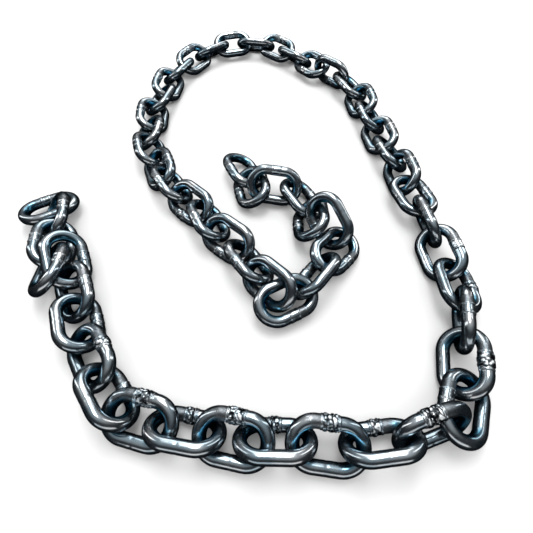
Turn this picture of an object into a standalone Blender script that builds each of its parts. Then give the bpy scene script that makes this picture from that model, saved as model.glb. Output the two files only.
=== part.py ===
"""A loosely laid length of welded round-steel chain: 59 closed links, in metres, +Z up."""

import math

import bpy
import numpy as np

MM = 0.001

# Driving dimensions of one link, in millimetres
WIRE = 9.5
PITCH = 35.0
WIDTH = 37.0
WELD_SWELL = 1.1
WELD_HALF = 4.5
WELD_FOOT = 7.0

# How finely a link is cut
NOSE_STEPS = 5
WIRE_SIDES = 8
CORNER_OUT = 1.02

# Clear space left between two links that touch
GAP = 0.3

# Seating: how firmly a link is held where it was laid, and how long it is worked
HOLD_PLACE = 0.3
HOLD_TURN = 0.1
SINK = 0.05
LAID_ROUNDS = 500
FREE_ROUNDS = 400
REACH = 65.0

# The height at which the middle of a plainly lying link starts
LYING = 13

# Where each link lies: x, y, heading and lean, then tip and height where it is stacked.
# Heading is the way to the next link, lean lifts the leg on the left of it, tip lifts its
# front end. They are whole millimetres and degrees, read off the photo link by link.
LEFT_END = [
    (-204, 56, 26, -6, 6, 18),
    (-193, 48, -84, 44, 14, 20),
    (-184, 12, -96, -30, -6, 18),
    (-176, -15, 66, -26, 4, 17),
    (-166, -6, -68, -22, -14, 18),
    (-151, -33, -74, 22, -10),
]
LEFT_SIDE = [
    (-143, -59, -67, -34),
    (-125, -87, -55, 28),
    (-106, -114, -52, -48),
]
FRONT = [
    (-82, -129, -14, 24),
    (-52, -135, -10, -42),
    (-21, -140, -10, 24),
    (5, -141, 0, -42),
    (33, -144, -10, 22),
    (65, -145, 7, -44, 0, 15),
    (106, -136, 22, 34, 8, 18),
]
RIGHT_SIDE = [
    (132, -124, 95, 24, -12, 17),
    (141, -94, 104, -36, 0, 17),
    (148, -59, 86, 78, 0, 18),
    (154, -27, 94, 22, -4),
    (149, 5, 103, -15, 6),
    (144, 38, 89, 55, 0, 16),
    (138, 72, 102, 1),
    (134, 103, 92, -45, 0, 15),
    (129, 136, 100, 34, -4),
    (125, 168, 97, -30),
    (119, 201, 98, 37),
    (114, 233, 96, -33),
    (105, 264, 118, 30),
]
BACK = [
    (83, 287, 133, 78, 0, 17),
    (60, 313, 125, -13),
    (38, 336, 132, 33),
    (16, 358, 137, -9),
    (-13, 370, 163, 33, 0, 11),
    (-47, 371, -166, -12),
    (-77, 354, -133, 29, 0, 11),
    (-99, 329, -119, -8),
    (-116, 299, -115, 29, 0, 11),
    (-124, 268, -97, -18),
    (-128, 236, -104, 27, 0, 11),
    (-133, 203, -82, -23),
]
MIDDLE = [
    (-130, 171, -90, 31),
    (-124, 141, -75, -41),
    (-109, 112, -71, 37),
    (-93, 87, -55, -43, -4, 15),
    (-72, 63, -42, 41),
    (-53, 41, -61, -36, 6),
    (-34, 19, -42, 45),
    (-15, -4, -57, -39, 2),
    (2, -27, -45, 43, 2, 16),
]
TURN = [
    (13, -43, 25, 6, 6, 15),
]
INNER_END = [
    (40, -19, 53, -44, 5, 17),
    (58, 8, 43, 7, -8),
    (57, 36, 119, -48, 15, 18),
    (41, 38, 94, -40, -4, 16),
    (33, 73, 119, 24, 1),
    (8, 82, 176, -34, 0, 16),
    (-15, 87, 103, -34, -2),
    (-24, 112, 115, 26, -2, 11),
]
LAY = LEFT_END + LEFT_SIDE + FRONT + RIGHT_SIDE + BACK + MIDDLE + TURN + INNER_END

# Links whose weld is on the left leg, looking along the heading; the others have it on the right
WELD_ON_LEFT = {1, 2, *range(5, 18), 19, 22, 25, 27, 29, 31, 42, 44, 52, 54, 55, 58, 59}


def clear_scene():
    for obj in list(bpy.data.objects):
        bpy.data.objects.remove(obj, do_unlink=True)


def link_rings():
    """Ring centres round one flat link, the wire radius at each and the way out of the link."""
    bend = (WIDTH - WIRE) / 2
    straight = (PITCH + WIRE) / 2 - bend
    centres, radii, outward = [], [], []
    weld = [(-WELD_FOOT, 1.0), (-WELD_HALF, WELD_SWELL), (WELD_HALF, WELD_SWELL), (WELD_FOOT, 1.0)]
    for along, swell in weld:
        centres.append((along, -bend, 0.0))
        radii.append(swell * WIRE / 2)
        outward.append((0.0, -1.0, 0.0))
    for side in (1, -1):
        for step in range(NOSE_STEPS + 1):
            angle = math.pi * step / NOSE_STEPS - math.pi / 2
            way = (side * math.cos(angle), side * math.sin(angle), 0.0)
            centres.append((side * straight + bend * way[0], bend * way[1], 0.0))
            radii.append(WIRE / 2)
            outward.append(way)
    return np.array(centres), np.array(radii), np.array(outward)


def axes_of(heading, lean, tip):
    """Columns along the link, across it to the left, and out of its face."""
    heading, lean, tip = math.radians(heading), math.radians(lean), math.radians(tip)
    flat = math.cos(tip)
    along = np.array([math.cos(heading) * flat, math.sin(heading) * flat, math.sin(tip)])
    left = np.array([-math.sin(heading), math.cos(heading), 0.0])
    across = math.cos(lean) * left + math.sin(lean) * np.cross(along, left)
    return np.stack([along, across, np.cross(along, across)], axis=1)


def laid_out():
    """Middle and axes of every link as it was laid by hand."""
    middles, axes = [], []
    for number, (x, y, heading, lean, *rest) in enumerate(LAY, start=1):
        tip = rest[0] if rest else 0
        height = rest[1] if len(rest) > 1 else LYING
        side = -1 if number in WELD_ON_LEFT else 1
        middles.append((x, y, height))
        axes.append(axes_of(heading, lean, tip) * np.array([1, side, side]))
    return np.array(middles, float), np.array(axes)


def turned(axes, twist):
    """Each set of axes turned by its own rotation vector."""
    angle = np.linalg.norm(twist, axis=1)
    x, y, z = (twist / np.maximum(angle, 1e-12)[:, None]).T
    none = np.zeros_like(x)
    rows = [none, -z, y, z, none, -x, -y, x, none]
    cross = np.stack(rows, axis=1).reshape(-1, 3, 3)
    sine = np.sin(angle)[:, None, None]
    rest = (1 - np.cos(angle))[:, None, None]
    return (np.eye(3) + sine * cross + rest * (cross @ cross)) @ axes


def closest(rings, radii, first, second):
    """Gap between the wires of each pair of links, and the nearest point on each centre line."""
    start_a, start_b = rings[first], rings[second]
    run_a = (np.roll(start_a, -1, 1) - start_a)[:, :, None]
    run_b = (np.roll(start_b, -1, 1) - start_b)[:, None]
    apart = start_a[:, :, None] - start_b[:, None]
    aa, bb, ab = (run_a * run_a).sum(3), (run_b * run_b).sum(3), (run_a * run_b).sum(3)
    ac, bc = (run_a * apart).sum(3), (run_b * apart).sum(3)
    spread = aa * bb - ab * ab
    share_a = np.where(spread > 1e-9, (ab * bc - ac * bb) / np.maximum(spread, 1e-9), 0)
    share_a = np.clip(share_a, 0, 1)
    share_b = np.clip((ab * share_a + bc) / bb, 0, 1)
    share_a = np.clip((ab * share_b - ac) / aa, 0, 1)
    between = apart + share_a[..., None] * run_a - share_b[..., None] * run_b
    ahead = np.roll(radii, -1)
    wire_a = radii[:, None] * (1 - share_a) + ahead[:, None] * share_a
    wire_b = radii[None] * (1 - share_b) + ahead[None] * share_b
    gap = np.linalg.norm(between, axis=3) - wire_a - wire_b
    pair = np.arange(len(first))
    i, j = np.divmod(gap.reshape(len(first), -1).argmin(1), len(radii))
    point_a = start_a[pair, i] + share_a[pair, i, j][:, None] * run_a[pair, i, 0]
    point_b = start_b[pair, j] + share_b[pair, i, j][:, None] * run_b[pair, 0, j]
    return gap[pair, i, j], point_a, point_b


def held(middles, axes, laid_middles, laid_axes, hold):
    """Draws each link back towards where it was laid, and lets it sink a little."""
    middles[:, :2] += HOLD_PLACE * hold * (laid_middles - middles)[:, :2]
    middles[:, 2] -= SINK * hold
    off = laid_axes @ axes.transpose(0, 2, 1)
    twist = np.stack(
        [off[:, 2, 1] - off[:, 1, 2], off[:, 0, 2] - off[:, 2, 0], off[:, 1, 0] - off[:, 0, 1]],
        axis=1,
    )
    return middles, turned(axes, HOLD_TURN * hold * twist / 2)


def eased(middles, axes, centres, radii, first, second):
    """One round: joined links are brought to the gap, others are parted, none goes below the floor."""
    rings = middles[:, None] + np.einsum("kij,nj->kni", axes, centres)
    gap, point_a, point_b = closest(rings, radii, first, second)
    wrong = np.where(second == first + 1, gap - GAP, np.minimum(gap - GAP, 0))
    way = point_a - point_b
    way /= np.linalg.norm(way, axis=1)[:, None] + 1e-9
    arm_a = np.cross(point_a - middles[first], way)
    arm_b = np.cross(point_b - middles[second], way)
    ease = 1 / (WIRE + PITCH / 6) ** 2
    push = -wrong / (2 + ease * ((arm_a * arm_a).sum(1) + (arm_b * arm_b).sum(1)))
    shift, twist, count = np.zeros_like(middles), np.zeros_like(middles), np.zeros(len(middles))
    np.add.at(shift, first, push[:, None] * way)
    np.add.at(shift, second, -push[:, None] * way)
    np.add.at(twist, first, ease * push[:, None] * arm_a)
    np.add.at(twist, second, -ease * push[:, None] * arm_b)
    np.add.at(count, first, np.abs(wrong) > 1e-4)
    np.add.at(count, second, np.abs(wrong) > 1e-4)
    link = np.arange(len(middles))
    below = rings[:, :, 2] - radii
    lowest = below.argmin(1)
    deep = np.maximum(-below[link, lowest], 0)
    up = np.tile([0.0, 0.0, 1.0], (len(middles), 1))
    arm = np.cross(rings[link, lowest] - middles, up)
    lift = deep / (1 + ease * (arm * arm).sum(1))
    shift += lift[:, None] * up
    twist += ease * lift[:, None] * arm
    count += deep > 0
    share = 1.3 / np.maximum(count, 1.3)
    return middles + share[:, None] * shift, turned(axes, share[:, None] * twist)


def seated():
    """The laid links, worked until every joint has its gap and no link runs into another."""
    centres, radii, _ = link_rings()
    laid_middles, laid_axes = laid_out()
    middles, axes = laid_middles.copy(), laid_axes.copy()
    every_first, every_second = np.triu_indices(len(middles), 1)
    for turn in range(LAID_ROUNDS + FREE_ROUNDS):
        if turn % 10 == 0:
            away = np.linalg.norm(middles[every_first] - middles[every_second], axis=1)
            first, second = every_first[away < REACH], every_second[away < REACH]
        hold = 1 - turn / LAID_ROUNDS
        if hold > 0:
            middles, axes = held(middles, axes, laid_middles, laid_axes, hold)
        middles, axes = eased(middles, axes, centres, radii, first, second)
    return middles, axes


def link_points(middle, axes):
    """Corner points of one link's wire, ring by ring."""
    centres, radii, outward = link_rings()
    mitre = 1 / math.cos(math.pi / NOSE_STEPS / 2)
    points = []
    for index, (centre, radius, way) in enumerate(zip(centres, radii, outward)):
        step = (index - 4) % (NOSE_STEPS + 1)
        bent = index > 3 and 0 < step < NOSE_STEPS
        for side in range(WIRE_SIDES):
            angle = 2 * math.pi * (side + 0.5) / WIRE_SIDES
            flat = radius * CORNER_OUT * math.cos(angle) * (mitre if bent else 1)
            high = radius * CORNER_OUT * math.sin(angle)
            points.append(middle + axes @ (centre + flat * way + np.array([0.0, 0.0, high])))
    return np.array(points)


def link_faces(rings):
    faces = []
    for ring in range(rings):
        here, there = ring * WIRE_SIDES, (ring + 1) % rings * WIRE_SIDES
        for side in range(WIRE_SIDES):
            beside = (side + 1) % WIRE_SIDES
            faces.append((here + side, there + side, there + beside, here + beside))
    return faces


def steel():
    material = bpy.data.materials.new("blued_steel")
    material.use_nodes = True
    shader = material.node_tree.nodes["Principled BSDF"]
    shader.inputs["Base Color"].default_value = (0.16, 0.19, 0.21, 1)
    shader.inputs["Metallic"].default_value = 1.0
    shader.inputs["Roughness"].default_value = 0.28
    return material


def add_link(name, points, material):
    faces = link_faces(len(points) // WIRE_SIDES)
    mesh = bpy.data.meshes.new(name)
    mesh.from_pydata((points * MM).tolist(), [], faces)
    mesh.update()
    for face in mesh.polygons:
        face.use_smooth = True
    mesh.materials.append(material)
    bpy.context.scene.collection.objects.link(bpy.data.objects.new(name, mesh))


def main():
    clear_scene()
    middles, axes = seated()
    links = [link_points(middle, turn) for middle, turn in zip(middles, axes)]
    low = np.min([points.min(0) for points in links], axis=0)
    high = np.max([points.max(0) for points in links], axis=0)
    origin = np.array([(low[0] + high[0]) / 2, (low[1] + high[1]) / 2, low[2]])
    material = steel()
    for number, points in enumerate(links, start=1):
        add_link(f"link_{number:02d}", points - origin, material)


main()
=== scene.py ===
"""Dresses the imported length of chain: detailed welded links in blued steel, on a pale studio floor."""

import math

import bpy
import numpy as np
from mathutils import Matrix, Vector


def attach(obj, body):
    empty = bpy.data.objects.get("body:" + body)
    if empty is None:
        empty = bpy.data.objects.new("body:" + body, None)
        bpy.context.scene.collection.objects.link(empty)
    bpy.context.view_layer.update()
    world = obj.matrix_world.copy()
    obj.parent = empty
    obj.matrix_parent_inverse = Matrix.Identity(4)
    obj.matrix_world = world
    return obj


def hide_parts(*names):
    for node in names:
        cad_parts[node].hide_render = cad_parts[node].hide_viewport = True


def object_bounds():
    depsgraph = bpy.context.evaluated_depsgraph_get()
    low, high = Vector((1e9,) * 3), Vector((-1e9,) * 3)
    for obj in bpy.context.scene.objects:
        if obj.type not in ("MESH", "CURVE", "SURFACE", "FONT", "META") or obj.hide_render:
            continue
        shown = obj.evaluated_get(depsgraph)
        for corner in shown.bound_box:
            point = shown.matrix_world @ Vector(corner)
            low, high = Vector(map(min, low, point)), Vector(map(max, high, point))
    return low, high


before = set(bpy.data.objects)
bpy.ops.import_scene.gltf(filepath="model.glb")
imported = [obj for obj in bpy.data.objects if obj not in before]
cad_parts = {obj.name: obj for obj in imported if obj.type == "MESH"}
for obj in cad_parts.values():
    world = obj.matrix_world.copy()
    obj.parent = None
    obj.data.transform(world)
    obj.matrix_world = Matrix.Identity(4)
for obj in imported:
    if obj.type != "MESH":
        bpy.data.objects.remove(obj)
CAD_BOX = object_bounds()

bl_info = {
    "name": "Welded Chain Lay",
    "version": (1, 0, 0),
    "blender": (4, 5, 0),
    "location": "View3D > Sidebar > Chain",
    "description": "Dresses a loosely laid length of welded chain",
    "category": "Object",
}

MM = 0.001

# The first and last link of each run. A run is one piece.
RUNS = {
    "left_end": (1, 6),
    "left_side": (7, 9),
    "front_row": (10, 16),
    "right_side": (17, 29),
    "back_arc": (30, 41),
    "middle_run": (42, 50),
    "inner_end": (51, 59),
}


# Settings


class ChainSizes(bpy.types.PropertyGroup):
    wire: bpy.props.FloatProperty(
        name="Wire", description="Diameter of the round wire",
        default=0.0095, min=0.002, unit="LENGTH",
    )
    pitch: bpy.props.FloatProperty(
        name="Pitch", description="Inner length of a link",
        default=0.035, min=0.01, unit="LENGTH",
    )
    width: bpy.props.FloatProperty(
        name="Width", description="Outer width of a link",
        default=0.037, min=0.01, unit="LENGTH",
    )
    plain_weld: bpy.props.FloatProperty(
        name="Plain Weld", description="Half the length of the raised band at a plain butt weld",
        default=0.0042, min=0.001, unit="LENGTH",
    )
    weld_swell: bpy.props.FloatProperty(
        name="Weld Swell", description="How far the whole weld band stands out of the wire",
        default=0.00015, min=0.0, unit="LENGTH",
    )
    ridge: bpy.props.FloatProperty(
        name="Ridge", description="Height of the two thin ridges at the ends of the weld",
        default=0.00035, min=0.0, unit="LENGTH",
    )
    burr: bpy.props.FloatProperty(
        name="Burr", description="Height of the lumps of burr left on a rough weld",
        default=0.0008, min=0.0, unit="LENGTH",
    )
    crease: bpy.props.FloatProperty(
        name="Crease", description="Depth of the faint die mark across the leg without a weld",
        default=0.00012, min=0.0, unit="LENGTH",
    )
    rings: bpy.props.IntProperty(
        name="Rings", description="Rings of points round one link",
        default=140, min=24,
    )
    sides: bpy.props.IntProperty(
        name="Sides", description="Points round the wire",
        default=36, min=8,
    )


class ChainFinish(bpy.types.PropertyGroup):
    steel: bpy.props.FloatVectorProperty(
        name="Steel", description="Polished steel, as it shows on top of the wires",
        default=(0.50, 0.535, 0.56), subtype="COLOR", min=0.0, max=1.0,
    )
    warm_steel: bpy.props.FloatVectorProperty(
        name="Warm Steel", description="Slightly warmer patches of the polished steel",
        default=(0.52, 0.515, 0.52), subtype="COLOR", min=0.0, max=1.0,
    )
    # Inside each link this darker blue is laid on as painted shade and blue reflection; elsewhere it makes
    # faint patches of bluing.
    blue: bpy.props.FloatVectorProperty(
        name="Bluing", description="Darker blued steel inside the noses and in faint patches",
        default=(0.055, 0.16, 0.225), subtype="COLOR", min=0.0, max=1.0,
    )
    edge: bpy.props.FloatVectorProperty(
        name="Edge", description="How much the steel mirrors at a glancing angle",
        default=(0.02, 0.03, 0.035), subtype="COLOR", min=0.0, max=1.0,
    )
    dull: bpy.props.FloatVectorProperty(
        name="Dull Steel", description="Grainy band beside each weld, left dull by the dies",
        default=(0.085, 0.09, 0.095), subtype="COLOR", min=0.0, max=1.0,
    )
    # The weld colour is bare metal, laid on only where the burr faces up, so it is also a painted
    # highlight.
    weld: bpy.props.FloatVectorProperty(
        name="Weld", description="Bright bare metal of the weld burr",
        default=(0.92, 0.93, 0.94), subtype="COLOR", min=0.0, max=1.0,
    )
    crack: bpy.props.FloatVectorProperty(
        name="Crack", description="Dark cracks and pits in the weld burr",
        default=(0.01, 0.013, 0.016), subtype="COLOR", min=0.0, max=1.0,
    )
    floor: bpy.props.FloatVectorProperty(
        name="Floor", description="Pale studio floor",
        default=(0.395, 0.395, 0.395), subtype="COLOR", min=0.0, max=1.0,
    )


# Node helpers


def add_node(tree, kind, **settings):
    """A new node, with its settings."""
    node = tree.nodes.new(kind)
    for name, value in settings.items():
        setattr(node, name, value)
    return node


def feed(tree, socket, value):
    """Joins a socket to another one, or gives it a plain value."""
    if isinstance(value, bpy.types.NodeSocket):
        tree.links.new(value, socket)
    else:
        socket.default_value = value


def calculate(tree, operation, *values):
    """The result of one Math node."""
    node = add_node(tree, "ShaderNodeMath", operation=operation)
    for socket, value in zip(node.inputs, values):
        feed(tree, socket, value)
    return node.outputs[0]


def plus(tree, first, second):
    return calculate(tree, "ADD", first, second)


def minus(tree, first, second):
    return calculate(tree, "SUBTRACT", first, second)


def times(tree, product, *others):
    """All the values multiplied together, from left to right."""
    for other in others:
        product = calculate(tree, "MULTIPLY", product, other)
    return product


def larger(tree, first, second):
    return calculate(tree, "MAXIMUM", first, second)


def smooth_step(tree, value, start, end):
    """0 at start and 1 at end, eased between them."""
    node = add_node(tree, "ShaderNodeMapRange", interpolation_type="SMOOTHSTEP")
    feed(tree, node.inputs["Value"], value)
    feed(tree, node.inputs["From Min"], start)
    feed(tree, node.inputs["From Max"], end)
    return node.outputs["Result"]


def xyz(tree, vector):
    """A vector's X, Y and Z."""
    node = add_node(tree, "ShaderNodeSeparateXYZ")
    feed(tree, node.inputs[0], vector)
    return node.outputs


# The links

# The front row is nearest to the camera, so its links have this many times the rings and sides
FRONT_FINENESS = 1.5

# The seed of the noise on the links, to which each link adds its own number
SEED = 7

# The rings that each packed link is made of: those of its weld, and those of its two noses
WELD_RINGS = 4
NOSE_RINGS = 12

# Corners of a packed link that agree to this many decimals of a metre are one corner
CORNER_DECIMALS = 6

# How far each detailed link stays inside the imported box
BOX_ROOM = 0.05 * MM

# The ways in which a weld stands out. Under a link it fades, so that the link still lies on the floor.
SIDEWAYS = np.array((1.0, 1.0, 0.0))

# Points of the oval that a link's rings are spread along, how much the rings crowd together at the weld,
# and where the middle of the weld is, as a share of the way round from +X
OVAL_POINTS = 96
CROWDING = 0.6
WELD_PLACE = 0.75

# Half the length of each rough weld, by the number of its link. Every other link has a plain weld.
ROUGH_WELDS = {
    8: 0.0045, 10: 0.0066, 11: 0.0045, 12: 0.0065, 13: 0.0045, 14: 0.0062, 15: 0.0045, 16: 0.0075,
    18: 0.0068, 20: 0.0048, 46: 0.0050,
}

# How lumpy a plain weld is, where a rough one is 1
PLAIN_BURR = 0.10

# Where the raised band, its ridges and its burr are, measured inwards from the ends of the weld
BAND_EASE = 0.9 * MM
RIDGE_PLACE = 0.6 * MM
BURR_START = 1.4 * MM
BURR_EASE = 0.8 * MM

# Size of one lump of burr
LUMP = 0.0038

# Scales of the noise that bends the lumps, that lays patches over the burr, and that opens its cracks
BENT_LUMPS = 250
BURR_PATCHES = 260
OPEN_CRACKS = 330

# Each pair down to CRACKED says where a value is 0 and where it is 1

# Distance from the middle of a ridge, and from the middle of the die mark
RIDGE_SIDE = (0.8 * MM, 0.25 * MM)
CREASE_SIDE = (1.2 * MM, 0.4 * MM)

# How far the surface faces up: a weld fades out below, and its bare metal is painted only on top, as a
# painted highlight where the light falls
UNDERSIDE = (-0.95, -0.3)
LIT_TOPSIDE = (0.45, 0.97)

# Distance from the edge of a lump, where a lump is 1 wide
LUMP_EDGE = (0.02, 0.15)

# The noise in the patches, which leaves bare metal or pits, and in the cracks
SCALED_OFF = (0.45, 0.60)
PITTED = (0.45, 0.37)
CRACKED = (0.34, 0.48)

# How bare a plain weld can be, where a rough one can be 1, and how bare a ridge is
PLAIN_BARENESS = 0.5
RIDGE_BARENESS = 0.12


def link_shape(sizes):
    """Radius of the centre line in the noses, and half the length of the straight legs between them."""
    bend = (sizes.width - sizes.wire) / 2
    return bend, (sizes.pitch + sizes.wire) / 2 - bend


def keep_value(tree, geometry, name, value, data_type="FLOAT"):
    """The same geometry, with a named value on its points."""
    marked = add_node(tree, "GeometryNodeStoreNamedAttribute", data_type=data_type, domain="POINT")
    feed(tree, marked.inputs["Geometry"], geometry)
    feed(tree, marked.inputs["Name"], name)
    feed(tree, marked.inputs["Value"], value)
    return marked.outputs["Geometry"]


def named(tree, name, data_type="FLOAT"):
    """A named value of the points."""
    node = add_node(tree, "GeometryNodeInputNamedAttribute", data_type=data_type)
    node.inputs["Name"].default_value = name
    return node.outputs["Attribute"]


def link_oval(tree, sizes):
    """The closed centre line of one link: a circle whose halves are moved apart by the straight legs."""
    bend = times(tree, minus(tree, sizes["Width"], sizes["Wire"]), 0.5)
    half = times(tree, plus(tree, sizes["Pitch"], sizes["Wire"]), 0.5)
    circle = add_node(tree, "GeometryNodeCurvePrimitiveCircle")
    circle.inputs["Resolution"].default_value = OVAL_POINTS
    feed(tree, circle.inputs["Radius"], bend)
    place = xyz(tree, add_node(tree, "GeometryNodeInputPosition").outputs[0])
    apart = add_node(tree, "ShaderNodeCombineXYZ")
    feed(tree, apart.inputs["X"], times(tree, calculate(tree, "SIGN", place["X"]), minus(tree, half, bend)))
    oval = add_node(tree, "GeometryNodeSetPosition")
    feed(tree, oval.inputs["Geometry"], circle.outputs["Curve"])
    feed(tree, oval.inputs["Offset"], apart.outputs[0])
    return oval.outputs["Geometry"]


def link_wire(tree, sizes):
    """The round wire of one link, its rings crowded together at the weld."""
    rings = add_node(tree, "GeometryNodeCurvePrimitiveCircle")
    feed(tree, rings.inputs["Resolution"], sizes["Rings"])
    share = calculate(tree, "DIVIDE", add_node(tree, "GeometryNodeInputIndex").outputs[0], sizes["Rings"])
    wave = calculate(tree, "SINE", times(tree, share, math.tau))
    crowded = minus(tree, share, times(tree, wave, CROWDING / math.tau))
    sample = add_node(tree, "GeometryNodeSampleCurve", mode="FACTOR")
    feed(tree, sample.inputs["Curves"], link_oval(tree, sizes))
    feed(tree, sample.inputs["Factor"], calculate(tree, "FRACT", plus(tree, crowded, WELD_PLACE)))
    centre_line = add_node(tree, "GeometryNodeSetPosition")
    feed(tree, centre_line.inputs["Geometry"], rings.outputs["Curve"])
    feed(tree, centre_line.inputs["Position"], sample.outputs["Position"])

    section = add_node(tree, "GeometryNodeCurvePrimitiveCircle")
    feed(tree, section.inputs["Resolution"], sizes["Sides"])
    feed(tree, section.inputs["Radius"], times(tree, sizes["Wire"], 0.5))
    swept = add_node(tree, "GeometryNodeCurveToMesh")
    feed(tree, swept.inputs["Curve"], centre_line.outputs["Geometry"])
    feed(tree, swept.inputs["Profile Curve"], section.outputs["Curve"])
    place = add_node(tree, "GeometryNodeInputPosition").outputs[0]
    return keep_value(tree, swept.outputs["Mesh"], "in_link", place, "FLOAT_VECTOR")


def own_seed(tree, sizes):
    """A number that differs from one link to the next."""
    return plus(tree, named(tree, "link_number"), sizes["Seed"])


def link_noise(tree, sizes, scale, output="Fac"):
    """Noise that stays with a link and differs from one link to the next."""
    node = add_node(tree, "ShaderNodeTexNoise", noise_dimensions="4D")
    feed(tree, node.inputs["Vector"], named(tree, "in_link", "FLOAT_VECTOR"))
    feed(tree, node.inputs["W"], own_seed(tree, sizes))
    node.inputs["Scale"].default_value = scale
    return node.outputs[output]


def weld_lumps(tree, sizes):
    """Lumps of burr, 1 on top of each and 0 in the cracks between them."""
    bent = add_node(tree, "ShaderNodeVectorMath", operation="MULTIPLY_ADD")
    feed(tree, bent.inputs[0], link_noise(tree, sizes, BENT_LUMPS, "Color"))
    bent.inputs[1].default_value = (LUMP, LUMP, LUMP)
    feed(tree, bent.inputs[2], named(tree, "in_link", "FLOAT_VECTOR"))
    cells = add_node(tree, "ShaderNodeTexVoronoi", voronoi_dimensions="4D", feature="DISTANCE_TO_EDGE")
    feed(tree, cells.inputs["Vector"], bent.outputs[0])
    feed(tree, cells.inputs["W"], own_seed(tree, sizes))
    cells.inputs["Scale"].default_value = 1 / LUMP
    return smooth_step(tree, cells.outputs["Distance"], *LUMP_EDGE)


def weld_relief(tree, sizes):
    """How far the weld stands out at a point, how bare the metal is there with a painted highlight on top,
    and how deep in a crack.
    """
    place = xyz(tree, named(tree, "in_link", "FLOAT_VECTOR"))
    along = calculate(tree, "ABSOLUTE", place["X"])
    on_leg = calculate(tree, "LESS_THAN", place["Y"], 0.0)
    facing_up = xyz(tree, add_node(tree, "GeometryNodeInputNormal").outputs[0])["Z"]
    half = named(tree, "weld_half")
    rough = named(tree, "burr")

    band = smooth_step(tree, along, half, minus(tree, half, BAND_EASE))
    off_ridge = calculate(tree, "ABSOLUTE", minus(tree, along, minus(tree, half, RIDGE_PLACE)))
    ridge = smooth_step(tree, off_ridge, *RIDGE_SIDE)
    burr_end = minus(tree, half, BURR_START)
    inner = smooth_step(tree, along, burr_end, minus(tree, burr_end, BURR_EASE))
    lumpy = times(tree, inner, rough, on_leg)
    lumps = weld_lumps(tree, sizes)

    height = times(tree, band, sizes["Weld Swell"])
    height = calculate(tree, "MULTIPLY_ADD", ridge, sizes["Ridge"], height)
    height = calculate(tree, "MULTIPLY_ADD", times(tree, lumpy, lumps), sizes["Burr"], height)
    height = times(tree, height, smooth_step(tree, facing_up, *UNDERSIDE), on_leg)
    crease = times(tree, smooth_step(tree, along, *CREASE_SIDE), minus(tree, 1.0, on_leg))
    height = minus(tree, height, times(tree, crease, sizes["Crease"]))

    patches = link_noise(tree, sizes, BURR_PATCHES)
    scaled_off = smooth_step(tree, patches, *SCALED_OFF)
    # Painted highlight: the bare metal is laid on only where the wire faces up.
    lit_top = smooth_step(tree, facing_up, *LIT_TOPSIDE)
    bare_and_highlight = times(tree, inner, larger(tree, rough, PLAIN_BARENESS), lumps, scaled_off, lit_top)
    bare_and_highlight = larger(tree, bare_and_highlight, times(tree, ridge, RIDGE_BARENESS))

    cracked = smooth_step(tree, link_noise(tree, sizes, OPEN_CRACKS), *CRACKED)
    cracks = times(tree, lumpy, cracked, minus(tree, 1.0, lumps))
    pits = times(tree, smooth_step(tree, patches, *PITTED), lumpy)
    return height, times(tree, bare_and_highlight, on_leg), larger(tree, cracks, pits)


TREE_INPUTS = [
    ("Wire", "NodeSocketFloat"),
    ("Pitch", "NodeSocketFloat"),
    ("Width", "NodeSocketFloat"),
    ("Weld Swell", "NodeSocketFloat"),
    ("Ridge", "NodeSocketFloat"),
    ("Burr", "NodeSocketFloat"),
    ("Crease", "NodeSocketFloat"),
    ("Rings", "NodeSocketInt"),
    ("Sides", "NodeSocketInt"),
    ("Seed", "NodeSocketInt"),
    ("Material", "NodeSocketMaterial"),
]


def link_tree():
    """Geometry Nodes that set one welded link on every point, turned as the point says."""
    tree = bpy.data.node_groups.get("welded_links")
    if tree:
        return tree
    tree = bpy.data.node_groups.new("welded_links", "GeometryNodeTree")
    tree.interface.new_socket("Geometry", in_out="INPUT", socket_type="NodeSocketGeometry")
    for name, kind in TREE_INPUTS:
        tree.interface.new_socket(name, in_out="INPUT", socket_type=kind)
    tree.interface.new_socket("Geometry", in_out="OUTPUT", socket_type="NodeSocketGeometry")
    sizes = add_node(tree, "NodeGroupInput").outputs

    placed = add_node(tree, "GeometryNodeInstanceOnPoints")
    feed(tree, placed.inputs["Points"], sizes["Geometry"])
    feed(tree, placed.inputs["Instance"], link_wire(tree, sizes))
    feed(tree, placed.inputs["Rotation"], named(tree, "turn", "QUATERNION"))
    real = add_node(tree, "GeometryNodeRealizeInstances")
    feed(tree, real.inputs["Geometry"], placed.outputs["Instances"])

    # The weld value is bare metal with a painted highlight: it is set only where the wire faces up.
    height, weld, crack = weld_relief(tree, sizes)
    out = add_node(tree, "ShaderNodeVectorMath", operation="SCALE")
    feed(tree, out.inputs[0], add_node(tree, "GeometryNodeInputNormal").outputs[0])
    feed(tree, out.inputs["Scale"], height)
    marked = keep_value(tree, keep_value(tree, real.outputs["Geometry"], "weld", weld), "crack", crack)
    raised = add_node(tree, "GeometryNodeSetPosition")
    feed(tree, raised.inputs["Geometry"], marked)
    feed(tree, raised.inputs["Offset"], out.outputs[0])
    smooth = add_node(tree, "GeometryNodeSetShadeSmooth")
    feed(tree, smooth.inputs["Geometry"], raised.outputs["Geometry"])
    painted = add_node(tree, "GeometryNodeSetMaterial")
    feed(tree, painted.inputs["Geometry"], smooth.outputs["Geometry"])
    feed(tree, painted.inputs["Material"], sizes["Material"])
    feed(tree, add_node(tree, "NodeGroupOutput").inputs["Geometry"], painted.outputs["Geometry"])
    return tree


def weld_burr(number):
    """How lumpy the weld of a link is, from 0 to 1."""
    return 1.0 if number in ROUGH_WELDS else PLAIN_BURR


def weld_length(number, sizes):
    """Half the length of a link's weld."""
    return ROUGH_WELDS.get(number, sizes.plain_weld)


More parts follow.
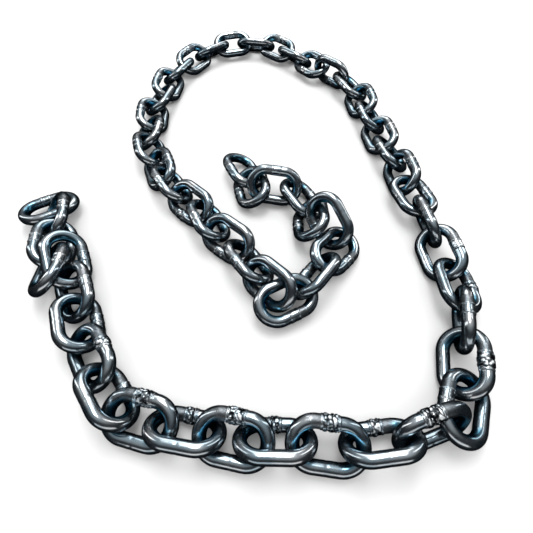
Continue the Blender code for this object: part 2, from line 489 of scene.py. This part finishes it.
def inside_box(middle, along, across, number, sizes):
    """The middle of a link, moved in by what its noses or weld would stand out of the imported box."""
    bend, straight = link_shape(sizes)
    reach = straight * np.abs(along) + bend * np.hypot(along, across) + sizes.wire / 2
    weld = middle - across * bend
    proud = sizes.weld_swell + max(sizes.ridge, sizes.burr * weld_burr(number))
    weld_reach = weld_length(number, sizes) * np.abs(along) + sizes.wire / 2 + proud * SIDEWAYS
    lowest = np.minimum(middle - reach, weld - weld_reach) - BOX_ROOM
    highest = np.maximum(middle + reach, weld + weld_reach) + BOX_ROOM
    low, high = (np.array(corner) for corner in CAD_BOX)
    return middle + np.maximum(low - lowest, 0) - np.maximum(highest - high, 0)


def link_pose(number, sizes):
    """Middle and turn of a packed link, from its corners. Its weld is at -Y, and +X points to the back."""
    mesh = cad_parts[f"link_{number:02d}"].data
    corners = np.empty(len(mesh.vertices) * 3)
    mesh.vertices.foreach_get("co", corners)
    corners = np.unique(corners.reshape(-1, 3).round(CORNER_DECIMALS), axis=0)
    mean = corners.mean(0)
    along, across, _ = np.linalg.svd(corners - mean, full_matrices=False)[2]
    # The rings of the weld draw the mean towards it, so the other leg is further from the mean
    reach = (corners - mean) @ across
    if -reach.min() > reach.max():
        across = -across
    if along[1] < 0:
        along = -along
    bend, _ = link_shape(sizes)
    middle = mean + across * bend * WELD_RINGS / (WELD_RINGS + NOSE_RINGS)
    middle = inside_box(middle, along, across, number, sizes)
    turn = Matrix(np.stack([along, across, np.cross(along, across)], axis=1).tolist())
    return middle, turn.to_quaternion()


def point_values(mesh, name, kind, values):
    """A named value on each point of the mesh."""
    attribute = mesh.attributes.new(name, kind, "POINT")
    for item, value in zip(attribute.data, values):
        item.value = value


def links_as_points(name, numbers, sizes):
    """One point for each link, with its turn, number and weld."""
    poses = [link_pose(number, sizes) for number in numbers]
    mesh = bpy.data.meshes.new(name)
    mesh.from_pydata([middle.tolist() for middle, _ in poses], [], [])
    point_values(mesh, "turn", "QUATERNION", [turn for _, turn in poses])
    point_values(mesh, "link_number", "FLOAT", numbers)
    point_values(mesh, "burr", "FLOAT", [weld_burr(number) for number in numbers])
    point_values(mesh, "weld_half", "FLOAT", [weld_length(number, sizes) for number in numbers])
    return mesh


def run_mesh(context, name, numbers, fineness):
    """The detailed links of one run, as one plain mesh."""
    sizes, finish = context.scene.chain_sizes, context.scene.chain_finish
    tree = link_tree()
    laid = bpy.data.objects.new(name + "_laid", links_as_points(name, numbers, sizes))
    context.scene.collection.objects.link(laid)
    modifier = laid.modifiers.new("links", "NODES")
    modifier.node_group = tree
    given = {
        "Wire": sizes.wire, "Pitch": sizes.pitch, "Width": sizes.width,
        "Weld Swell": sizes.weld_swell, "Ridge": sizes.ridge, "Burr": sizes.burr, "Crease": sizes.crease,
        "Rings": round(sizes.rings * fineness), "Sides": round(sizes.sides * fineness),
        "Seed": SEED, "Material": blued_steel(sizes, finish),
    }
    for item in tree.interface.items_tree:
        if item.in_out == "INPUT" and item.name in given:
            modifier[item.identifier] = given[item.name]
    evaluated = laid.evaluated_get(context.evaluated_depsgraph_get())
    mesh = bpy.data.meshes.new_from_object(evaluated)
    laid.modifiers.clear()
    bpy.data.objects.remove(laid)
    mesh.name = name
    if len(mesh.polygons) < len(numbers) * sizes.rings * sizes.sides:
        raise RuntimeError(f"{name} came out with links missing")
    return mesh


def dress_run(context, name, fineness=1.0):
    """Sets detailed links over a run of packed ones, as one piece that stands for them."""
    first, last = RUNS[name]
    numbers = range(first, last + 1)
    run = bpy.data.objects.new(name, run_mesh(context, name, numbers, fineness))
    context.scene.collection.objects.link(run)
    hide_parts(*[f"link_{number:02d}" for number in numbers])
    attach(run, "root")


# Materials

# Noise on the steel and on the floor
BLUE_PATCHES = {"scale": 60, "detail": 3}
WARM_PATCHES = {"scale": 35}
WEAR = {"scale": 500}
WAVES = {"scale": 160}
GRAIN = {"scale": 900, "detail": 4, "rough": 0.7}
FLOOR_SHADES = {"scale": 3}
FLOOR_TEXTURE = {"scale": 40}

# Each pair down to DULL_STOP says where a value is 0 and where it is 1

# The noise that makes the steel blue and warm in patches
BLUED = (0.62, 0.40)
WARM = (0.45, 0.65)

# Distance out from the centre line of the wire, in wires: inside a link the steel is painted darker blue,
# as painted shade and blue reflection
INNER_SHADE_EDGES = (0.1, -0.35)

# Distance past the end of a straight leg, into the nose, over which the painted inner shade grows to full
INNER_SHADE_INTO_NOSE = (-3.0 * MM, 4.0 * MM)

# Distance past the end of the weld, where the dull band starts and where it stops
DULL_START = (-0.4 * MM, 0.2 * MM)
DULL_STOP = (9.0 * MM, 4.0 * MM)

# How blue the patches are, and how strong the painted shade inside the legs is, where the insides of the
# noses are 1
PATCH_BLUING = 0.45
LEG_INNER_SHADE = 0.5

# What these are where the noise is 0 and where it is 1:
# how dull the dull band is, how worn the bare metal is, and how rough the steel and the floor are
DULLNESS = (0.35, 1.2)
WORN = (0.2, 1.1)
STEEL_ROUGHNESS = (0.14, 0.22)
FLOOR_ROUGHNESS = (0.55, 0.7)

# How much rougher the dull band and the weld are, and how much less metallic a worn weld is
DULL_ROUGHER = 0.16
WELD_ROUGHER = 0.22
WORN_LESS_METALLIC = 0.5

# Strength and depth of the bumps on the steel
WAVE_BUMPS = (0.09, 0.4 * MM)
GRAIN_BUMPS = (0.03, 0.1 * MM)
DIE_BUMPS = (0.8, 0.35 * MM)

# The darker shade of the floor, and the floor as the steel mirrors it
FLOOR_DARKER = 0.98
MIRRORED_FLOOR = (0.003, 0.0045, 0.006)


def noise(tree, where, scale, detail=2.0, rough=0.5):
    """Plain noise over the surface, from 0 to 1."""
    node = add_node(tree, "ShaderNodeTexNoise")
    feed(tree, node.inputs["Vector"], where)
    node.inputs["Scale"].default_value = scale
    node.inputs["Detail"].default_value = detail
    node.inputs["Roughness"].default_value = rough
    return node.outputs["Fac"]


def blend_colours(tree, share, first, second):
    """The first colour where share is 0, and the second where it is 1."""
    node = add_node(tree, "ShaderNodeMix", data_type="RGBA")
    feed(tree, node.inputs["Factor"], share)
    feed(tree, node.inputs["A"], first)
    feed(tree, node.inputs["B"], second)
    return node.outputs["Result"]


def spread(tree, value, low, high):
    """A 0 to 1 value spread between two others."""
    node = add_node(tree, "ShaderNodeMapRange")
    feed(tree, node.inputs["Value"], value)
    feed(tree, node.inputs["To Min"], low)
    feed(tree, node.inputs["To Max"], high)
    return node.outputs["Result"]


def bumps(tree, height, strength, distance, under=None):
    """The surface's direction with bumps of that height, over those under them."""
    node = add_node(tree, "ShaderNodeBump")
    node.inputs["Strength"].default_value = strength
    node.inputs["Distance"].default_value = distance
    feed(tree, node.inputs["Height"], height)
    if under is not None:
        feed(tree, node.inputs["Normal"], under)
    return node.outputs["Normal"]


def kept(tree, name, output="Fac"):
    """A value that the Geometry Nodes left on the mesh."""
    return add_node(tree, "ShaderNodeAttribute", attribute_name=name).outputs[output]


def painted_inner_shade(tree, sizes):
    """Painted shade and blue reflection: 0 outside a link, 1 inside its noses and less inside its legs."""
    bend, straight = link_shape(sizes)
    place = xyz(tree, kept(tree, "in_link", "Vector"))
    past_leg = minus(tree, calculate(tree, "ABSOLUTE", place["X"]), straight)
    round_nose = larger(tree, past_leg, 0.0)
    squares = times(tree, place["Y"], place["Y"])
    from_middle = calculate(tree, "SQRT", calculate(tree, "MULTIPLY_ADD", round_nose, round_nose, squares))
    outer, inner = (bend + wires * sizes.wire for wires in INNER_SHADE_EDGES)
    at_nose = spread(tree, smooth_step(tree, past_leg, *INNER_SHADE_INTO_NOSE), LEG_INNER_SHADE, 1.0)
    return times(tree, smooth_step(tree, from_middle, outer, inner), at_nose)


def dull_band(tree, grain):
    """The grainy band that the dies left between the weld and the nose behind it: about 1 on it, or 0."""
    place = xyz(tree, kept(tree, "in_link", "Vector"))
    past_weld = minus(tree, place["X"], kept(tree, "weld_half"))
    start = smooth_step(tree, past_weld, *DULL_START)
    stop = smooth_step(tree, past_weld, *DULL_STOP)
    on_leg = calculate(tree, "LESS_THAN", place["Y"], 0.0)
    band = times(tree, start, stop, on_leg)
    return times(tree, band, spread(tree, grain, *DULLNESS))


def blued_steel(sizes, finish):
    """Polished steel with painted shade and blue reflection inside the links, faint blue patches, and bare
    weld metal painted on top as a painted highlight.
    """
    material = bpy.data.materials.get("polished_blued_steel")
    if material:
        return material
    material = bpy.data.materials.new("polished_blued_steel")
    material.use_nodes = True
    tree = material.node_tree
    shader = tree.nodes["Principled BSDF"]
    where = add_node(tree, "ShaderNodeTexCoord").outputs["Object"]
    grain = noise(tree, where, **GRAIN)
    dull = dull_band(tree, grain)
    weld = kept(tree, "weld")
    # Bare weld metal, painted only on the upper side: bare metal and a painted highlight.
    worn_and_highlight = times(tree, weld, spread(tree, noise(tree, where, **WEAR), *WORN))

    patches = smooth_step(tree, noise(tree, where, **BLUE_PATCHES), *BLUED)
    # Inside each link the steel is painted darker blue as painted shade and reflection; the faint patches
    # are the steel's own tone.
    blue = larger(tree, painted_inner_shade(tree, sizes), times(tree, patches, PATCH_BLUING))
    warmth = smooth_step(tree, noise(tree, where, **WARM_PATCHES), *WARM)
    colour = blend_colours(tree, warmth, (*finish.steel, 1), (*finish.warm_steel, 1))
    colour = blend_colours(tree, blue, colour, (*finish.blue, 1))
    colour = blend_colours(tree, dull, colour, (*finish.dull, 1))
    colour = blend_colours(tree, worn_and_highlight, colour, (*finish.weld, 1))
    colour = blend_colours(tree, kept(tree, "crack"), colour, (*finish.crack, 1))
    feed(tree, shader.inputs["Base Color"], colour)
    metallic = calculate(tree, "MULTIPLY_ADD", worn_and_highlight, -WORN_LESS_METALLIC, 1.0)
    feed(tree, shader.inputs["Metallic"], metallic)
    shader.inputs["Specular Tint"].default_value = (*finish.edge, 1)

    rough = spread(tree, grain, *STEEL_ROUGHNESS)
    rough = calculate(tree, "MULTIPLY_ADD", dull, DULL_ROUGHER, rough)
    feed(tree, shader.inputs["Roughness"], calculate(tree, "MULTIPLY_ADD", weld, WELD_ROUGHER, rough))

    surface = bumps(tree, noise(tree, where, **WAVES), *WAVE_BUMPS)
    surface = bumps(tree, grain, *GRAIN_BUMPS, surface)
    feed(tree, shader.inputs["Normal"], bumps(tree, dull, *DIE_BUMPS, surface))
    return material


def pale_floor(finish):
    """A pale matt floor, which is dark only where the steel mirrors it."""
    material = bpy.data.materials.new("pale_floor")
    material.use_nodes = True
    tree = material.node_tree
    shader = tree.nodes["Principled BSDF"]
    where = add_node(tree, "ShaderNodeTexCoord").outputs["Object"]
    darker = tuple(FLOOR_DARKER * part for part in finish.floor)
    colour = blend_colours(tree, noise(tree, where, **FLOOR_SHADES), (*finish.floor, 1), (*darker, 1))
    mirrored = add_node(tree, "ShaderNodeLightPath").outputs["Is Glossy Ray"]
    feed(tree, shader.inputs["Base Color"], blend_colours(tree, mirrored, colour, (*MIRRORED_FLOOR, 1)))
    rough = spread(tree, noise(tree, where, **FLOOR_TEXTURE), *FLOOR_ROUGHNESS)
    feed(tree, shader.inputs["Roughness"], rough)
    shader.inputs["Specular IOR Level"].default_value = 0.0
    return material


# The runs of links


class CHAIN_OT_left_end(bpy.types.Operator):
    """The left end of the chain, folded over itself"""

    bl_idname = "chain.left_end"
    bl_label = "Left End"

    def execute(self, context):
        dress_run(context, "left_end")
        return {"FINISHED"}


class CHAIN_OT_left_side(bpy.types.Operator):
    """The links that come down the left side"""

    bl_idname = "chain.left_side"
    bl_label = "Left Side"

    def execute(self, context):
        dress_run(context, "left_side")
        return {"FINISHED"}


class CHAIN_OT_front_row(bpy.types.Operator):
    """The near row of links, which have the roughest welds"""

    bl_idname = "chain.front_row"
    bl_label = "Front Row"

    def execute(self, context):
        dress_run(context, "front_row", FRONT_FINENESS)
        return {"FINISHED"}


class CHAIN_OT_right_side(bpy.types.Operator):
    """The links that run up the right side"""

    bl_idname = "chain.right_side"
    bl_label = "Right Side"

    def execute(self, context):
        dress_run(context, "right_side")
        return {"FINISHED"}


class CHAIN_OT_back_arc(bpy.types.Operator):
    """The links round the far arc"""

    bl_idname = "chain.back_arc"
    bl_label = "Back Arc"

    def execute(self, context):
        dress_run(context, "back_arc")
        return {"FINISHED"}


class CHAIN_OT_middle_run(bpy.types.Operator):
    """The links that come down the middle"""

    bl_idname = "chain.middle_run"
    bl_label = "Middle Run"

    def execute(self, context):
        dress_run(context, "middle_run")
        return {"FINISHED"}


class CHAIN_OT_inner_end(bpy.types.Operator):
    """The sharp turn in the middle, and the links back to the inner end"""

    bl_idname = "chain.inner_end"
    bl_label = "Inner End"

    def execute(self, context):
        dress_run(context, "inner_end")
        return {"FINISHED"}


# The stage

# The camera looks down at this point of the floor by 56 degrees, from this far in front of it and this high
AIM = (0.0291, -0.1127, 0.0)
CAMERA_AWAY = 0.1770
CAMERA_UP = 0.2624
LENS = 24.35
SENSOR_WIDTH = 36
NEAREST_SEEN = 0.01

# How far the floor reaches from the origin
FLOOR_REACH = 6

# Each light's place from the point that the camera aims at, its width and height, and its power in watts
SOFTBOXES = {
    "canopy": ((0.0, 0.95, 1.6), (0.9, 1.9), 11),
    "key": ((0.0, 0.50, 1.45), (0.4, 0.8), 12),
    "back_bank": ((0.0, 2.2, 1.2), (1.6, 0.6), 8),
    "left_strip": ((-1.5, 0.5, 0.9), (0.22, 1.6), 4),
    "right_strip": ((1.4, 0.8, 0.9), (0.22, 1.6), 4),
    "front_fill": ((0.0, -1.6, 0.3), (2.4, 0.6), 5),
}

# The sky that lights the chain and the floor
SKY_AT_HORIZON = (1, 1, 1, 1)
SKY_OVERHEAD = (3, 3, 3, 1)

# The dark room that the steel mirrors: the way to its soft light, and where that starts and is full
TO_ROOM_LIGHT = (0.0, 0.42, 0.91)
ROOM_LIGHT_RISES = (0.36, 1.0)
DARK_ROOM = (0.004, 0.009, 0.014, 1)
ROOM_LIGHT = (0.50, 0.54, 0.56, 1)


def look_at(obj, target):
    """Turns a light or the camera to face a point."""
    obj.rotation_euler = (Vector(target) - obj.location).to_track_quat("-Z", "Y").to_euler()


def lay_floor(context):
    """A wide pale floor, level with the lowest point of the chain."""
    mesh = bpy.data.meshes.new("studio_floor")
    low = CAD_BOX[0].z
    ways = ((-1, -1), (1, -1), (1, 1), (-1, 1))
    mesh.from_pydata([(x * FLOOR_REACH, y * FLOOR_REACH, low) for x, y in ways], [], [(0, 1, 2, 3)])
    mesh.materials.append(pale_floor(context.scene.chain_finish))
    floor = bpy.data.objects.new("studio_floor", mesh)
    context.scene.collection.objects.link(floor)


def softbox(context, name, place, size, power):
    """A soft rectangular light that faces the point that the camera aims at."""
    light = bpy.data.lights.new(name, "AREA")
    light.shape = "RECTANGLE"
    light.size, light.size_y = size
    light.energy = power
    obj = bpy.data.objects.new(name, light)
    obj.location = Vector(AIM) + Vector(place)
    look_at(obj, AIM)
    context.scene.collection.objects.link(obj)


def studio_air(context):
    """Pale soft light all round. The steel mirrors a dark room that brightens softly overhead."""
    world = bpy.data.worlds.new("studio")
    world.use_nodes = True
    tree = world.node_tree
    way = add_node(tree, "ShaderNodeTexCoord").outputs["Generated"]
    to_light = add_node(tree, "ShaderNodeVectorMath", operation="DOT_PRODUCT")
    feed(tree, to_light.inputs[0], way)
    to_light.inputs[1].default_value = TO_ROOM_LIGHT
    rising = smooth_step(tree, to_light.outputs["Value"], *ROOM_LIGHT_RISES)
    room = blend_colours(tree, rising, DARK_ROOM, ROOM_LIGHT)
    overhead = smooth_step(tree, xyz(tree, way)["Z"], 0.0, 1.0)
    sky = blend_colours(tree, overhead, SKY_AT_HORIZON, SKY_OVERHEAD)
    mirrored = add_node(tree, "ShaderNodeLightPath").outputs["Is Glossy Ray"]
    feed(tree, tree.nodes["Background"].inputs["Color"], blend_colours(tree, mirrored, sky, room))
    context.scene.world = world


def photo_camera(context):
    """The camera at the photo's viewing angle."""
    camera = bpy.data.objects.new("camera", bpy.data.cameras.new("camera"))
    camera.data.lens = LENS
    camera.data.sensor_width = SENSOR_WIDTH
    camera.data.clip_start = NEAREST_SEEN
    camera.location = Vector(AIM) + Vector((0, -CAMERA_AWAY, CAMERA_UP))
    look_at(camera, AIM)
    context.scene.collection.objects.link(camera)
    context.scene.camera = camera
    context.scene.view_settings.view_transform = "Standard"


class CHAIN_OT_stage(bpy.types.Operator):
    """Pale floor, soft studio lights and the photo's camera"""

    bl_idname = "chain.stage"
    bl_label = "Stage"

    def execute(self, context):
        lay_floor(context)
        studio_air(context)
        for name, (place, size, power) in SOFTBOXES.items():
            softbox(context, name, place, size, power)
        photo_camera(context)
        return {"FINISHED"}


class CHAIN_PT_panel(bpy.types.Panel):
    """Lists the chain's settings and its pieces"""

    bl_label = "Chain"
    bl_idname = "CHAIN_PT_panel"
    bl_space_type = "VIEW_3D"
    bl_region_type = "UI"
    bl_category = "Chain"

    def draw(self, context):
        layout = self.layout
        for group in (context.scene.chain_sizes, context.scene.chain_finish):
            box = layout.box()
            for name in type(group).__annotations__:
                box.prop(group, name)
        for operator in OPERATORS:
            layout.operator(operator.bl_idname)


OPERATORS = (
    CHAIN_OT_left_end,
    CHAIN_OT_left_side,
    CHAIN_OT_front_row,
    CHAIN_OT_right_side,
    CHAIN_OT_back_arc,
    CHAIN_OT_middle_run,
    CHAIN_OT_inner_end,
    CHAIN_OT_stage,
)

CLASSES = (ChainSizes, ChainFinish, *OPERATORS, CHAIN_PT_panel)


def register():
    for cls in CLASSES:
        bpy.utils.register_class(cls)
    bpy.types.Scene.chain_sizes = bpy.props.PointerProperty(type=ChainSizes)
    bpy.types.Scene.chain_finish = bpy.props.PointerProperty(type=ChainFinish)


def unregister():
    del bpy.types.Scene.chain_finish
    del bpy.types.Scene.chain_sizes
    for cls in reversed(CLASSES):
        bpy.utils.unregister_class(cls)


def main():
    register()
    bpy.ops.chain.left_end()
    bpy.ops.chain.left_side()
    bpy.ops.chain.front_row()
    bpy.ops.chain.right_side()
    bpy.ops.chain.back_arc()
    bpy.ops.chain.middle_run()
    bpy.ops.chain.inner_end()
    bpy.ops.chain.stage()


if __name__ == "__main__":
    main()
